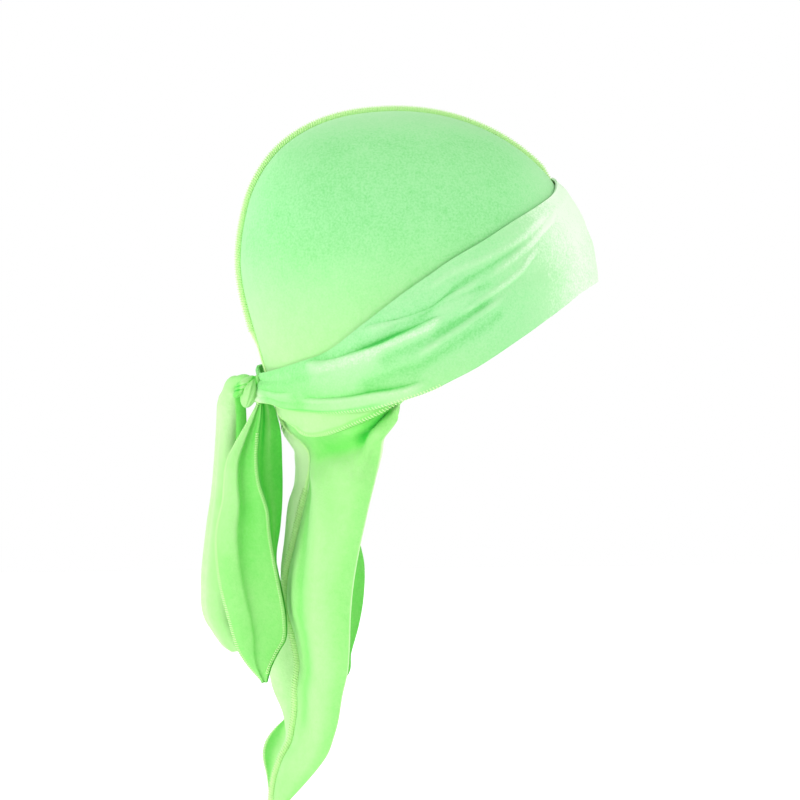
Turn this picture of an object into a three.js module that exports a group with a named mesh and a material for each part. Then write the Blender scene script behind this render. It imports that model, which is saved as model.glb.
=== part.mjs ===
// Durag of stretch velvet, in the form that it has when it is worn. Two panels make the crown
// and the long tail, and an overlocked seam joins them from the brow over the crown to the
// tail's tip. A strap wraps the forehead twice, is gathered at the nape and tied in a knot,
// and its two ends hang behind the tail.
//
// Millimetres. +Z is up, the brow faces -Y and the wearer's right side is -X. The origin is
// the inside of the crown at its top, where the durag rests on the head.
import * as THREE from 'three';

// Head that the durag is sized for
const headLength = 194;
const headWidth = 152;
const crownHeight = 82.4;
const crownForward = 13.4;

// Cloth, and the gap between two layers of it
const clothThickness = 1.2;
const layerGap = 0.7;
const panelGap = 0.4;

// Centre seam: two cloth edges that stand up from the crown, pressed flat under the wrap. The
// wrap lets go of it at a turn over the brow, takes it again at a turn over the nape, and the
// seam stands up again on the tail, at a share of its own length.
const seamWidth = 1.8;
const seamHeight = 3.4;
const pressedSeamHeight = 1.5;
const seamClearance = 0.4;
const browSeam = { pressed: 36, free: 42 };
const napeSeam = { free: 206, pressed: 213 };
const tailSeam = { pressed: 0.675, free: 0.72 };

// Tail. Shares of its length say where its rows of cloth have come level, where it leaves the
// head's shape, and where its long folds set in and run out.
const tailLength = 226;
const tailDepth = 62;
const tailHalfWidth = 67;
const tailFoldHeight = 4;
const tailLevels = 0.1;
const headLets = { from: 0.04, to: 0.2 };
const foldsBegin = { from: 0.1, to: 0.45 };
const foldsEnd = { from: 0.8, to: 1 };

// Wrap: depth of its pleats, the bulk of its gathered end and the gap in degrees between its
// ends. Its brow pleats turn into its nape pleats, and its gathers set in, between two turns.
const pleatHeight = 2.4;
const napeGather = 2.8;
const wrapEndGap = 1.5;
const pleatsTurn = { brow: 50, nape: 140 };
const gathersTurn = { from: 155, to: 176 };

// Knot
const knotWidth = 20;
const knotDepth = 12.6;
const knotShift = 2.5;
const knotHeight = 15.5;
const knotLow = 6;
const knotCreaseDepth = 1.0;
const knotCreases = 3;
const knotTwist = 2.5;
const knotClearance = 0.4;

// Tie that loops over the knot and hangs behind it. It moves to the left within the first
// share of its length.
const loopedTieDrop = 154;
const loopedTieDepth = 42;
const loopedTieWidth = 40;
const loopedTieShift = 15;
const loopedTieShifts = 0.13;

// Tie that hangs from under the knot
const hangingTieDrop = 160;
const hangingTieDepth = 37;
const hangingTieFold = 15;

// Side view of the head that the cloth follows. turn is in degrees about the head's middle,
// from the brow up over the crown, and reach is a share of the head's half length and height.
const headOutline = [
  { turn: 0, reach: 0.990 },
  { turn: 20, reach: 0.948 },
  { turn: 40, reach: 0.931 },
  { turn: 60, reach: 0.947 },
  { turn: 80, reach: 0.980 },
  { turn: 100, reach: 1.015 },
  { turn: 120, reach: 1.063 },
  { turn: 135, reach: 1.074 },
  { turn: 150, reach: 1.047 },
  { turn: 165, reach: 1.010 },
  { turn: 180, reach: 0.998 },
  { turn: 200, reach: 1.006 },
  { turn: 215, reach: 1.050 },
  { turn: 230, reach: 1.190 },
  { turn: 245, reach: 1.500 },
  { turn: 260, reach: 1.950 },
  { turn: 280, reach: 2.050 },
  { turn: 300, reach: 1.700 },
  { turn: 315, reach: 1.380 },
  { turn: 330, reach: 1.140 },
  { turn: 345, reach: 1.040 },
  { turn: 360, reach: 0.990 },
];
const headTaper = 0.08;

// Free edge of a crown panel, under the wrap: turn is where the row of cloth meets the seam,
// forward and up are shares of the head's half length and crown height.
const crownRim = [
  { turn: 4, forward: 0.740, up: -0.120 },
  { turn: 25, forward: 0.629, up: -0.160 },
  { turn: 40, forward: 0.542, up: -0.215 },
  { turn: 60, forward: 0.444, up: -0.292 },
  { turn: 80, forward: 0.358, up: -0.360 },
  { turn: 100, forward: 0.271, up: -0.428 },
  { turn: 120, forward: 0.196, up: -0.483 },
  { turn: 140, forward: 0.138, up: -0.544 },
  { turn: 160, forward: 0.081, up: -0.612 },
  { turn: 180, forward: 0.035, up: -0.680 },
  { turn: 200, forward: 0.000, up: -0.761 },
  { turn: 217, forward: -0.023, up: -0.843 },
  { turn: 231, forward: -0.060, up: -0.935 },
];

// Tail, from the nape down. drop is a share of tailLength, back places the seam as a share of
// the head's half length, right and left are how far each free edge lies before the seam as
// shares of tailDepth, and width is a share of tailHalfWidth.
const tailRows = [
  { drop: 0.00, back: 0.755, right: 1.000, left: 1.000, width: 1.000 },
  { drop: 0.06, back: 0.690, right: 0.790, left: 0.800, width: 0.965 },
  { drop: 0.12, back: 0.635, right: 0.600, left: 0.640, width: 0.920 },
  { drop: 0.20, back: 0.629, right: 0.522, left: 0.580, width: 0.860 },
  { drop: 0.26, back: 0.664, right: 0.516, left: 0.600, width: 0.820 },
  { drop: 0.34, back: 0.708, right: 0.524, left: 0.660, width: 0.765 },
  { drop: 0.42, back: 0.739, right: 0.530, left: 0.730, width: 0.730 },
  { drop: 0.50, back: 0.735, right: 0.500, left: 0.700, width: 0.700 },
  { drop: 0.57, back: 0.715, right: 0.460, left: 0.645, width: 0.650 },
  { drop: 0.64, back: 0.700, right: 0.425, left: 0.566, width: 0.590 },
  { drop: 0.70, back: 0.711, right: 0.395, left: 0.530, width: 0.530 },
  { drop: 0.76, back: 0.718, right: 0.380, left: 0.360, width: 0.470 },
  { drop: 0.80, back: 0.737, right: 0.378, left: 0.150, width: 0.420 },
  { drop: 0.84, back: 0.757, right: 0.376, left: -0.080, width: 0.370 },
  { drop: 0.88, back: 0.790, right: 0.384, left: -0.130, width: 0.300 },
  { drop: 0.93, back: 0.812, right: 0.300, left: -0.080, width: 0.190 },
  { drop: 0.97, back: 0.820, right: 0.170, left: -0.030, width: 0.110 },
  { drop: 1.00, back: 0.812, right: 0.050, left: -0.010, width: 0.050 },
];

// Long folds of the tail, across a panel from its free edge to the seam
const tailFolds = [
  { place: 0.00, rise: 0.3 },
  { place: 0.22, rise: -0.7 },
  { place: 0.52, rise: 1.0 },
  { place: 0.80, rise: -0.5 },
  { place: 1.00, rise: 0.0 },
];

// Edges of the wrap round the head. turn is in degrees from the brow to the nape, top and
// bottom are heights above the head's middle as shares of crownHeight.
const wrapEdges = [
  { turn: 0, top: 0.550, bottom: -0.125 },
  { turn: 12, top: 0.510, bottom: -0.145 },
  { turn: 25, top: 0.430, bottom: -0.205 },
  { turn: 40, top: 0.340, bottom: -0.345 },
  { turn: 55, top: 0.235, bottom: -0.500 },
  { turn: 70, top: 0.105, bottom: -0.665 },
  { turn: 82, top: 0.000, bottom: -0.775 },
  { turn: 91, top: -0.100, bottom: -0.842 },
  { turn: 101, top: -0.215, bottom: -0.900 },
  { turn: 115, top: -0.400, bottom: -0.965 },
  { turn: 131, top: -0.605, bottom: -0.978 },
  { turn: 145, top: -0.668, bottom: -0.975 },
  { turn: 160, top: -0.712, bottom: -0.960 },
  { turn: 172, top: -0.733, bottom: -0.905 },
  { turn: 180, top: -0.735, bottom: -0.885 },
];

// Pleats across the wrap, from its lower edge up: brow is their rise at the forehead and nape
// their rise where the cloth is gathered, as shares of pleatHeight.
const wrapPleats = [
  { place: 0.00, brow: 0.30, nape: 0.20 },
  { place: 0.10, brow: 0.10, nape: 0.90 },
  { place: 0.20, brow: 0.05, nape: 0.10 },
  { place: 0.38, brow: 0.45, nape: 0.60 },
  { place: 0.50, brow: 0.10, nape: 0.85 },
  { place: 0.60, brow: 0.40, nape: 1.00 },
  { place: 0.72, brow: 0.20, nape: 0.15 },
  { place: 0.88, brow: 0.00, nape: 0.45 },
  { place: 1.00, brow: 0.40, nape: 0.10 },
];

// Lower hem of a strap's first turn, which shows under the wrap at the nape
const rootEdges = [
  { turn: 78, top: -0.300, bottom: -0.700 },
  { turn: 91, top: -0.380, bottom: -0.815 },
  { turn: 103, top: -0.480, bottom: -0.914 },
  { turn: 117, top: -0.600, bottom: -1.025 },
  { turn: 137, top: -0.740, bottom: -1.125 },
  { turn: 148, top: -0.780, bottom: -1.149 },
  { turn: 159, top: -0.800, bottom: -1.120 },
  { turn: 167, top: -0.805, bottom: -1.070 },
  { turn: 178, top: -0.810, bottom: -0.960 },
];

// Route and section of the looped tie. run is a share of its own length, back and drop place
// its middle line from the knot's middle as shares of loopedTieDepth and loopedTieDrop, and
// depth and width are the section's shares of loopedTieDepth and loopedTieWidth.
const loopedTieRows = [
  { run: 0.00, back: -0.036, drop: -0.064, depth: 0.070, width: 0.30 },
  { run: 0.05, back: 0.095, drop: -0.065, depth: 0.095, width: 0.35 },
  { run: 0.10, back: 0.160, drop: -0.030, depth: 0.190, width: 0.42 },
  { run: 0.17, back: 0.155, drop: 0.019, depth: 0.380, width: 0.50 },
  { run: 0.22, back: 0.140, drop: 0.071, depth: 0.495, width: 0.60 },
  { run: 0.33, back: 0.157, drop: 0.195, depth: 0.595, width: 0.70 },
  { run: 0.48, back: 0.143, drop: 0.357, depth: 0.714, width: 0.78 },
  { run: 0.58, back: 0.136, drop: 0.468, depth: 0.857, width: 0.83 },
  { run: 0.71, back: 0.129, drop: 0.610, depth: 0.980, width: 0.85 },
  { run: 0.81, back: 0.131, drop: 0.721, depth: 1.000, width: 0.85 },
  { run: 0.87, back: 0.133, drop: 0.792, depth: 0.886, width: 0.75 },
  { run: 0.93, back: 0.124, drop: 0.857, depth: 0.676, width: 0.60 },
  { run: 0.98, back: 0.110, drop: 0.916, depth: 0.405, width: 0.38 },
  { run: 1.00, back: 0.095, drop: 0.942, depth: 0.200, width: 0.22 },
];
const loopedTieCurl = 105;

// Outline of the hanging tie in the side view. drop is a share of hangingTieDrop below the
// knot's middle; hem, crease and fold are places behind the knot as shares of its depth; side
// is how far the crease lies to the right and open the relief, as shares of hangingTieFold.
const hangingTieRows = [
  { drop: 0.032, hem: -0.125, crease: -0.190, fold: -0.300, side: 0.45, open: 0.20 },
  { drop: 0.080, hem: -0.040, crease: -0.185, fold: -0.380, side: 0.60, open: 0.35 },
  { drop: 0.130, hem: 0.085, crease: -0.160, fold: -0.465, side: 0.80, open: 0.55 },
  { drop: 0.175, hem: 0.200, crease: -0.149, fold: -0.486, side: 0.90, open: 0.75 },
  { drop: 0.231, hem: 0.320, crease: -0.135, fold: -0.497, side: 1.00, open: 0.90 },
  { drop: 0.306, hem: 0.365, crease: -0.165, fold: -0.505, side: 1.05, open: 0.95 },
  { drop: 0.369, hem: 0.385, crease: -0.250, fold: -0.497, side: 1.05, open: 0.95 },
  { drop: 0.410, hem: 0.427, crease: -0.300, fold: -0.486, side: 1.05, open: 0.90 },
  { drop: 0.475, hem: 0.486, crease: -0.324, fold: -0.465, side: 1.05, open: 0.80 },
  { drop: 0.563, hem: 0.486, crease: -0.384, fold: -0.425, side: 1.05, open: 0.70 },
  { drop: 0.650, hem: 0.443, crease: -0.457, fold: -0.462, side: 1.05, open: 0.60 },
  { drop: 0.738, hem: 0.354, crease: -0.530, fold: -0.532, side: 1.05, open: 0.50 },
  { drop: 0.788, hem: 0.295, crease: -0.555, fold: -0.557, side: 1.05, open: 0.45 },
  { drop: 0.850, hem: 0.222, crease: -0.545, fold: -0.547, side: 1.05, open: 0.40 },
  { drop: 0.894, hem: 0.149, crease: -0.440, fold: -0.442, side: 1.05, open: 0.35 },
  { drop: 0.944, hem: 0.010, crease: -0.330, fold: -0.332, side: 1.05, open: 0.30 },
  { drop: 1.000, hem: -0.200, crease: -0.260, fold: -0.262, side: 1.05, open: 0.25 },
];

// Section of the hanging tie from its rear hem: reach runs from the hem at 0 past the crease
// at 1 to the outer fold at 2, and out is a share of hangingTieFold towards the right.
const hangingTieSection = [
  { place: 0.00, reach: 0.00, out: -0.35 },
  { place: 0.20, reach: 0.32, out: 0.05 },
  { place: 0.42, reach: 0.74, out: 0.20 },
  { place: 0.56, reach: 1.00, out: 0.00 },
  { place: 0.68, reach: 1.18, out: -0.60 },
  { place: 0.84, reach: 1.70, out: -0.70 },
  { place: 1.00, reach: 2.00, out: -0.75 },
];

const halfLength = headLength / 2;
const halfWidth = headWidth / 2;
const middleY = -crownForward;
const middleZ = -crownHeight;
const rootLift = clothThickness + layerGap;
const wrapLift = rootLift + clothThickness + layerGap;
const crownStart = crownRim[0].turn;
const crownEnd = crownRim[crownRim.length - 1].turn;
const crownShare = 0.62;
const slopeStep = 0.004;
const routeStep = 0.01;
const panelGrid = { columns: 11, rows: 50 };
const rootGrid = { columns: 5, rows: 14 };
const wrapGrid = { columns: 12, rows: 52 };
const loopedTieGrid = { columns: 10, rows: 24 };
const hangingTieGrid = { columns: 10, rows: 22 };
const knotGrid = { around: 22, along: 14 };

const mix = (a, b, share) => a + (b - a) * share;
const radians = (degrees) => degrees * Math.PI / 180;

function ramp(from, to, value) {
  const share = Math.min(Math.max((value - from) / (to - from), 0), 1);
  return share * share * (3 - 2 * share);
}

// Smooth curve through one column of a table, read at a value of another column
function read(table, key, column, at) {
  const last = table.length - 1;
  const value = Math.min(Math.max(at, table[0][key]), table[last][key]);
  let i = 0;
  while (i < last - 1 && value > table[i + 1][key]) {
    i += 1;
  }
  const slope = (row) => {
    const before = table[Math.max(row - 1, 0)];
    const after = table[Math.min(row + 1, last)];
    return (after[column] - before[column]) / (after[key] - before[key]);
  };
  const span = table[i + 1][key] - table[i][key];
  const t = (value - table[i][key]) / span;
  const bend = span * t * (1 - t) * ((1 - t) * slope(i) - t * slope(i + 1));
  return mix(table[i][column], table[i + 1][column], t * t * (3 - 2 * t)) + bend;
}

// How far out a point of the side view lies: 0 at the head's middle, 1 on its outline
function outlineShare(forward, up) {
  const turn = (Math.atan2(up, forward) * 180 / Math.PI + 360) % 360;
  return Math.hypot(forward, up) / read(headOutline, 'turn', 'reach', turn);
}

// Half width of the head over a point of the side view
function headHalfWidth(y, z) {
  const forward = (middleY - y) / halfLength;
  const share = Math.min(outlineShare(forward, (z - middleZ) / crownHeight), 1);
  return halfWidth * (1 - headTaper * forward) * Math.sqrt(1 - share * share);
}

const sideY = (forward) => middleY - forward * halfLength;
const sideZ = (up) => middleZ + up * crownHeight;

// Distance of the head's surface from its upright axis, at a turn from the brow and a height
function headRadius(turn, height) {
  const up = (height - middleZ) / crownHeight;
  let near = 0;
  let far = headLength;
  for (let step = 0; step < 40; step += 1) {
    const radius = (near + far) / 2;
    const forward = radius * Math.cos(turn) / halfLength;
    const side = radius * Math.abs(Math.sin(turn));
    const width = halfWidth * (1 - headTaper * forward);
    const outside = (side / width) ** 2 + outlineShare(forward, up) ** 2 > 1;
    near = outside ? near : radius;
    far = outside ? radius : far;
  }
  return near;
}

// Direction square to a surface that is given as a function of two shares
function squareTo(surface, across, along) {
  const a0 = Math.max(across - slopeStep, 0);
  const a1 = Math.min(across + slopeStep, 1);
  const b0 = Math.max(along - slopeStep, 0);
  const b1 = Math.min(along + slopeStep, 1);
  const acrossWay = surface(a1, along).sub(surface(a0, along));
  const alongWay = surface(across, b1).sub(surface(across, b0));
  return acrossWay.cross(alongWay).normalize();
}

// Surface raised along its own normal by a height that may vary over it
function raised(surface, height) {
  return (across, along) => {
    const lift = height(across, along);
    return surface(across, along).addScaledVector(squareTo(surface, across, along), lift);
  };
}

const mirrored = (surface) => (across, along) => {
  const point = surface(1 - across, along);
  point.x = -point.x;
  return point;
};

// Closed wall of cloth on a surface: a flat slab whose every corner is moved to its place
function cloth(grid, surface, keepOut = (point) => point) {
  const geometry = new THREE.BoxGeometry(1, 1, 1, grid.columns, grid.rows, 1);
  const corners = geometry.attributes.position;
  for (let i = 0; i < corners.count; i += 1) {
    const across = corners.getX(i) + 0.5;
    const along = corners.getY(i) + 0.5;
    const layer = corners.getZ(i) + 0.5;
    const point = surface(across, along);
    point.addScaledVector(squareTo(surface, across, along), layer * clothThickness);
    keepOut(point);
    corners.setXYZ(i, point.x, point.y, point.z);
  }
  geometry.computeVertexNormals();
  return geometry;
}

// Seam line in the side view, from the brow over the crown (0 to crownShare) and down the tail
function seamLine(along) {
  if (along <= crownShare) {
    const turn = mix(crownStart, crownEnd, along / crownShare);
    const reach = read(headOutline, 'turn', 'reach', turn);
    const forward = reach * Math.cos(radians(turn));
    const up = reach * Math.sin(radians(turn));
    return { y: sideY(forward), z: sideZ(up) };
  }
  const drop = (along - crownShare) / (1 - crownShare);
  const start = seamLine(crownShare);
  const back = read(tailRows, 'drop', 'back', drop);
  const join = mix(start.y, middleY + back * halfLength, ramp(0, tailLevels, drop));
  return { y: join, z: start.z - drop * tailLength };
}

// One half of the crown and tail: across runs from the free edge to the seam
function panelSurface(side) {
  const depthColumn = side < 0 ? 'right' : 'left';
  const flat = (across, along) => {
    const seam = seamLine(along);
    const spread = radians(90 * across);
    const turn = mix(crownStart, crownEnd, Math.min(along / crownShare, 1));
    const rimY = sideY(read(crownRim, 'turn', 'forward', turn));
    const rimZ = sideZ(read(crownRim, 'turn', 'up', turn));
    const drop = Math.max((along - crownShare) / (1 - crownShare), 0);
    const depth = read(tailRows, 'drop', depthColumn, drop) * tailDepth;
    const hang = ramp(0, tailLevels, drop);
    const edgeY = drop > 0 ? mix(rimY, seam.y - depth, hang) : rimY;
    const edgeZ = drop > 0 ? mix(rimZ + (seam.z - seamLine(crownShare).z), seam.z, hang) : rimZ;
    const y = mix(edgeY, seam.y, Math.sin(spread));
    const z = mix(edgeZ, seam.z, Math.sin(spread));
    const onHead = headHalfWidth(y, z) - headHalfWidth(seam.y, seam.z) * Math.sin(spread);
    const free = read(tailRows, 'drop', 'width', drop) * tailHalfWidth * Math.cos(spread);
    const x = mix(onHead, free, ramp(headLets.from, headLets.to, drop));
    return new THREE.Vector3(side * x, y, z);
  };
  const ordered = side < 0 ? flat : (across, along) => flat(1 - across, along);
  return raised(ordered, (across, along) => {
    const drop = Math.max((along - crownShare) / (1 - crownShare), 0);
    const place = side < 0 ? across : 1 - across;
    const rise = read(tailFolds, 'place', 'rise', place);
    const begun = ramp(foldsBegin.from, foldsBegin.to, drop);
    const ended = ramp(foldsEnd.from, foldsEnd.to, drop);
    return rise * tailFoldHeight * begun * (1 - ended);
  });
}

function panel(side) {
  return cloth(panelGrid, panelSurface(side), (point) => {
    point.x = side * Math.max(side * point.x, panelGap / 2);
  });
}

// Strip between two edges round the head, at a lift over its surface
function strip(edges, turnAt, lift) {
  const base = (across, along) => {
    const turn = turnAt(along);
    const bottom = read(edges, 'turn', 'bottom', Math.abs(turn));
    const top = read(edges, 'turn', 'top', Math.abs(turn));
    const height = sideZ(mix(bottom, top, across));
    const radius = headRadius(radians(turn), height);
    const x = -radius * Math.sin(radians(turn));
    return new THREE.Vector3(x, middleY - radius * Math.cos(radians(turn)), height);
  };
  return raised(base, (across, along) => lift(across, Math.abs(turnAt(along))));
}

const wrapTurn = 180 - wrapEndGap;
const wrapSurface = strip(
  wrapEdges,
  (along) => mix(-wrapTurn, wrapTurn, along),
  (across, turn) => {
    const brow = read(wrapPleats, 'place', 'brow', across);
    const nape = read(wrapPleats, 'place', 'nape', across);
    const gather = napeGather * ramp(gathersTurn.from, gathersTurn.to, turn);
    const pleat = mix(brow, nape, ramp(pleatsTurn.brow, pleatsTurn.nape, turn));
    return wrapLift + gather + pleatHeight * pleat;
  },
);

const rootStart = rootEdges[0].turn;
const rootEnd = rootEdges[rootEdges.length - 1].turn;
const rootSurface = strip(rootEdges, (along) => mix(rootStart, rootEnd, along), () => rootLift);

// Overlocked seam: a thin ridge on the outside of the crown and the tail
function centreSeam() {
  const geometry = new THREE.BoxGeometry(1, 1, 1, 1, panelGrid.rows, 1);
  const corners = geometry.attributes.position;
  for (let i = 0; i < corners.count; i += 1) {
    const along = corners.getY(i) + 0.5;
    const before = seamLine(Math.max(along - slopeStep, 0));
    const after = seamLine(Math.min(along + slopeStep, 1));
    const way = new THREE.Vector2(after.y - before.y, after.z - before.z).normalize();
    const middle = seamLine(along);
    const turn = along / crownShare * (crownEnd - crownStart) + crownStart;
    const pastBrow = ramp(browSeam.pressed, browSeam.free, turn);
    const atNape = ramp(napeSeam.free, napeSeam.pressed, turn);
    const onTail = ramp(tailSeam.pressed, tailSeam.free, along);
    const height = mix(pressedSeamHeight, seamHeight, pastBrow * (1 - atNape) + onTail);
    const lift = clothThickness + seamClearance + (corners.getZ(i) + 0.5) * height;
    const x = corners.getX(i) * seamWidth;
    corners.setXYZ(i, x, middle.y - way.y * lift, middle.z + way.x * lift);
  }
  geometry.computeVertexNormals();
  return geometry;
}

// Knot at the nape, behind the gathered end of the wrap
const wrapEnd = wrapEdges[wrapEdges.length - 1];
const napeZ = sideZ((wrapEnd.top + wrapEnd.bottom) / 2);
const napePleat = pleatHeight * wrapPleats[1].nape;
const wrapThickness = wrapLift + napeGather + napePleat + clothThickness;
const napeY = middleY + headRadius(Math.PI, napeZ) + wrapThickness;
const knotY = napeY + knotClearance + knotDepth / 2;
const knotZ = napeZ - knotLow;

function knotForm() {
  const geometry = new THREE.SphereGeometry(1, knotGrid.around, knotGrid.along);
  const corners = geometry.attributes.position;
  for (let i = 0; i < corners.count; i += 1) {
    const point = new THREE.Vector3().fromBufferAttribute(corners, i);
    const around = Math.atan2(point.z, point.y);
    const fold = Math.cos(knotCreases * around + knotTwist * point.x);
    const crease = knotCreaseDepth * fold * (1 - point.x ** 2);
    corners.setXYZ(
      i,
      point.x * (knotWidth / 2 - crease) - knotShift,
      knotY + point.y * (knotDepth / 2 - crease),
      knotZ + point.z * (knotHeight / 2 - crease),
    );
  }
  geometry.computeVertexNormals();
  return geometry;
}

function loopedTieSurface(across, along) {
  const route = (share) => new THREE.Vector2(
    knotY + read(loopedTieRows, 'run', 'back', share) * loopedTieDepth,
    knotZ - read(loopedTieRows, 'run', 'drop', share) * loopedTieDrop,
  );
  const before = route(Math.max(along - routeStep, 0));
  const way = route(Math.min(along + routeStep, 1)).sub(before).normalize();
  const middle = route(along);
  const depth = read(loopedTieRows, 'run', 'depth', along) * loopedTieDepth / 2;
  const width = read(loopedTieRows, 'run', 'width', along) * loopedTieWidth / 2;
  const curl = radians(mix(-loopedTieCurl, loopedTieCurl, across));
  const out = depth * Math.cos(curl);
  const x = loopedTieShift * ramp(0, loopedTieShifts, along) + width * Math.sin(curl);
  return new THREE.Vector3(x, middle.x - way.y * out, middle.y + way.x * out);
}

function hangingTieSurface(across, along) {
  const drop = mix(hangingTieRows[0].drop, hangingTieRows[hangingTieRows.length - 1].drop, along);
  const place = (column) => read(hangingTieRows, 'drop', column, drop);
  const reach = read(hangingTieSection, 'place', 'reach', across);
  const out = read(hangingTieSection, 'place', 'out', across);
  const share = reach <= 1
    ? mix(place('hem'), place('crease'), reach)
    : mix(place('crease'), place('fold'), reach - 1);
  return new THREE.Vector3(
    -hangingTieFold * (place('side') + out * place('open')),
    knotY + share * hangingTieDepth,
    knotZ - drop * hangingTieDrop,
  );
}

const velvet = { color: 0x9ff29a, roughness: 0.75, metalness: 0 };
const thread = { color: 0xb4f07a, roughness: 0.6, metalness: 0 };

const durag = new THREE.Group();

function add(name, geometry, finish) {
  const mesh = new THREE.Mesh(geometry, new THREE.MeshStandardMaterial(finish));
  mesh.name = name;
  durag.add(mesh);
}

add('side_panel_right', panel(-1), velvet);
add('side_panel_left', panel(1), velvet);
add('centre_seam', centreSeam(), thread);
add('strap_root_right', cloth(rootGrid, rootSurface), velvet);
add('strap_root_left', cloth(rootGrid, mirrored(rootSurface)), velvet);
add('wrap_band', cloth(wrapGrid, wrapSurface), velvet);
add('knot', knotForm(), velvet);
add('tie_looped', cloth(loopedTieGrid, loopedTieSurface), velvet);
add('tie_hanging', cloth(hangingTieGrid, hangingTieSurface), velvet);

export default durag;
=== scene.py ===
import math

import bpy
import numpy as np
from mathutils import Matrix, Vector


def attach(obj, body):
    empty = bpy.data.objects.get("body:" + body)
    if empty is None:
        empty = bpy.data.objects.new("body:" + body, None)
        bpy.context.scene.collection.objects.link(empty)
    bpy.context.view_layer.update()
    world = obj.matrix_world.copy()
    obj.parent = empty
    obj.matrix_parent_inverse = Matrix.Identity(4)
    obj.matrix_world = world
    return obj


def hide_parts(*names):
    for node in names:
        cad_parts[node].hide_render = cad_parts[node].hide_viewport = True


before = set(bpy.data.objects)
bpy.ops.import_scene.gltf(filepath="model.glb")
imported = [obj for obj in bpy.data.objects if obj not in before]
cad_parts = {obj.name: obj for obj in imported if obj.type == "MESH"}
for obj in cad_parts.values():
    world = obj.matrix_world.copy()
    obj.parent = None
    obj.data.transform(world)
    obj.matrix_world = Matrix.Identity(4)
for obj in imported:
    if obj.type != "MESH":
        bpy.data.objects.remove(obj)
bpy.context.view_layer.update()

# Camera. It stands to the right of the durag and a little behind, level with its lower edge, and
# sees it from the side through a long lens.
camera_turn = math.radians(264)
camera_rise = math.radians(2)
camera_distance = 1.4
camera_aim = Vector((0, -0.00448, -0.1597))
towards_camera = Vector((
    math.sin(camera_turn) * math.cos(camera_rise),
    -math.cos(camera_turn) * math.cos(camera_rise),
    math.sin(camera_rise),
))
bpy.ops.object.camera_add(location=camera_aim + towards_camera * camera_distance)
camera = bpy.context.object
camera.rotation_euler = (-towards_camera).to_track_quat("-Z", "Y").to_euler()
camera.data.sensor_width = 36
camera.data.lens = 112.5
camera.data.clip_start = 0.05
camera.data.clip_end = 50
bpy.context.scene.camera = camera

# Crown and tail. Two panels of stretch velvet are cut alike, joined down the middle, and run
# from the brow over the crown into the long pointed tail, whose front edges hang free. The
# velvet is a knit with a short pile that shines pale where it is seen from the side.
crown_length = 0.194
crown_width = 0.152
crown_height = 0.0824
crown_forward = 0.0134
crown_taper = 0.08
cloth_thickness = 0.0012
panel_gap = 0.0004
tail_length = 0.226
tail_depth = 0.062
tail_half_width = 0.067
tail_fold_height = 0.004
crown_share = 0.62
tail_hangs_by = 0.10

# turn about the crown's middle from the brow up, and reach as a share of its half length
crown_outline = [
    (0, 0.990), (20, 0.948), (40, 0.945), (60, 0.957), (80, 0.982), (100, 1.015),
    (120, 1.063), (135, 1.074), (150, 1.047), (165, 1.010), (180, 0.998), (200, 1.009),
    (215, 1.075), (230, 1.230), (245, 1.500), (260, 1.950), (280, 2.050), (300, 1.700),
    (315, 1.380), (330, 1.140), (345, 1.040), (360, 0.990),
]

# turn, and the free edge under the wrap as shares forward and up
crown_rim = [
    (4, 0.740, -0.120), (25, 0.629, -0.160), (40, 0.542, -0.215), (60, 0.444, -0.292),
    (80, 0.358, -0.360), (100, 0.271, -0.428), (120, 0.196, -0.483), (140, 0.138, -0.544),
    (160, 0.081, -0.612), (180, 0.030, -0.680), (200, -0.030, -0.770), (217, -0.105, -0.860),
    (231, -0.165, -0.935),
]

# drop, seam's place back, right and left edges before the seam, half width
tail_rows = [
    (0.00, 0.755, 0.940, 0.940, 1.000),
    (0.06, 0.695, 0.725, 0.740, 0.965),
    (0.12, 0.603, 0.536, 0.576, 0.920),
    (0.20, 0.613, 0.476, 0.538, 0.860),
    (0.26, 0.642, 0.475, 0.559, 0.820),
    (0.34, 0.685, 0.485, 0.624, 0.765),
    (0.42, 0.727, 0.506, 0.742, 0.730),
    (0.50, 0.735, 0.495, 0.745, 0.700),
    (0.57, 0.692, 0.424, 0.630, 0.650),
    (0.64, 0.663, 0.366, 0.507, 0.590),
    (0.70, 0.676, 0.341, 0.476, 0.530),
    (0.76, 0.678, 0.312, 0.120, 0.470),
    (0.80, 0.691, 0.298, -0.082, 0.420),
    (0.84, 0.711, 0.284, -0.205, 0.370),
    (0.88, 0.761, 0.278, -0.182, 0.300),
    (0.93, 0.800, 0.220, -0.092, 0.190),
    (0.97, 0.815, 0.130, -0.048, 0.110),
    (1.00, 0.812, 0.050, -0.010, 0.050),
]

# place across the left half from its free edge, and the rise of its long fold
tail_folds = [
    (0.00, 0.0), (0.40, 0.0), (0.60, 0.35), (0.74, 1.0), (0.88, 1.35), (0.96, 0.9), (1.00, 0.0),
]

half_length = crown_length / 2
half_width = crown_width / 2
middle_y = -crown_forward
middle_z = -crown_height


def between(low, high, share):
    return low + (high - low) * share


def settle(start, end, value):
    """A smooth step from 0 at the start to 1 at the end."""
    share = np.clip((value - start) / (end - start), 0, 1)
    return share * share * (3 - 2 * share)


def hump(off, breadth):
    """A smooth rise that is 1 at no distance and is nearly gone at twice its breadth."""
    return np.exp(-(off / breadth) ** 2)


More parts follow.
